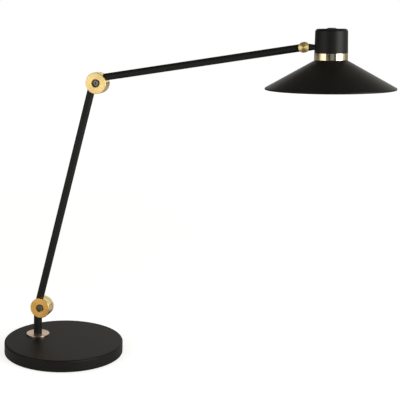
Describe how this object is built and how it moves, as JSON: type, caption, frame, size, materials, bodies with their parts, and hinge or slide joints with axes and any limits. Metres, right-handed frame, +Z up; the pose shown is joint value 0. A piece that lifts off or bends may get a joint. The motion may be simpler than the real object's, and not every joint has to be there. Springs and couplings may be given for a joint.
{
  "type": "desk lamp",
  "caption": "Black desk lamp with a round weighted base, a short post, tube arms on brass fold-flat knuckles, and a tilting cone shade under a capped brass collar.",
  "frame": {"origin": "centre of the round base, on the surface that the lamp stands on", "axes": "+Z up, +X the way the arms reach, the arms fold in a plane parallel to XZ through the post"},
  "size_m": [0.6229, 0.2112, 0.5627],
  "materials": {
    "base_coat": "matt black textured powder coat on cast iron",
    "black_coat": "satin black lacquer on steel",
    "brass": "turned and polished brass",
    "zinc_steel": "zinc-plated steel",
    "rubber": "black anti-slip rubber sheet",
    "nylon": "black nylon",
    "switch_plastic": "satin black moulded plastic",
    "holder_plastic": "black thermoset plastic",
    "opal_glass": "opal white bulb glass"
  },
  "bodies": {
    "base": {"base_plate": "base_coat", "base_pad": "rubber", "cable_gland": "nylon", "foot_disc": "brass", "swivel_bush": "nylon"},
    "post": {"post_spindle": "zinc_steel", "swivel_spring": "zinc_steel", "swivel_nut": "zinc_steel", "post_tube": "black_coat", "shoulder_fork": "brass", "shoulder_bolt": "zinc_steel", "shoulder_disc_spring": "zinc_steel", "shoulder_nut": "zinc_steel", "shoulder_friction": "nylon"},
    "lower_arm": {"shoulder_tongue": "brass", "lower_tube": "black_coat", "elbow_fork": "brass", "elbow_bolt": "zinc_steel", "elbow_disc_spring": "zinc_steel", "elbow_nut": "zinc_steel", "elbow_friction": "nylon"},
    "upper_arm": {"elbow_tongue": "brass", "upper_tube": "black_coat", "head_fork": "brass", "head_screw": "zinc_steel", "head_friction": "nylon"},
    "head": {"head_tongue": "brass", "head_stem": "black_coat", "stem_saddle": "zinc_steel", "stem_nut": "zinc_steel", "shade_cap": "black_coat", "shade_ring": "brass", "shade": "black_coat", "lampholder": "holder_plastic", "clamp_ring": "holder_plastic", "bulb_cap": "zinc_steel", "bulb_globe": "opal_glass", "switch_body": "switch_plastic", "switch_bezel": "switch_plastic"},
    "switch": {"switch_button": "switch_plastic"}
  },
  "joints": [
    {"name": "base_swivel", "type": "hinge", "parent": "base", "child": "post", "pos_m": [-0.0522, 0.0107, 0.02], "axis": [0, 0, 1], "range_deg": [-165, 165]},
    {"name": "shoulder_fold", "type": "hinge", "parent": "post", "child": "lower_arm", "pos_m": [-0.0447, 0.0107, 0.0705], "axis": [0, -1, 0], "range_deg": [-37, 28]},
    {"name": "elbow_fold", "type": "hinge", "parent": "lower_arm", "child": "upper_arm", "pos_m": [0.04824, 0.0107, 0.45883], "axis": [0, -1, 0], "range_deg": [-55, 45]},
    {"name": "shade_tilt", "type": "hinge", "parent": "upper_arm", "child": "head", "pos_m": [0.37771, 0.0107, 0.53148], "axis": [0, -1, 0], "range_deg": [-30, 75]},
    {"name": "switch_press", "type": "slide", "parent": "head", "child": "switch", "axis": [0.045, 0, -0.999], "range_m": [0, 0.001], "stiffness_N_per_m": 900, "springref_m": -0.001}
  ]
}
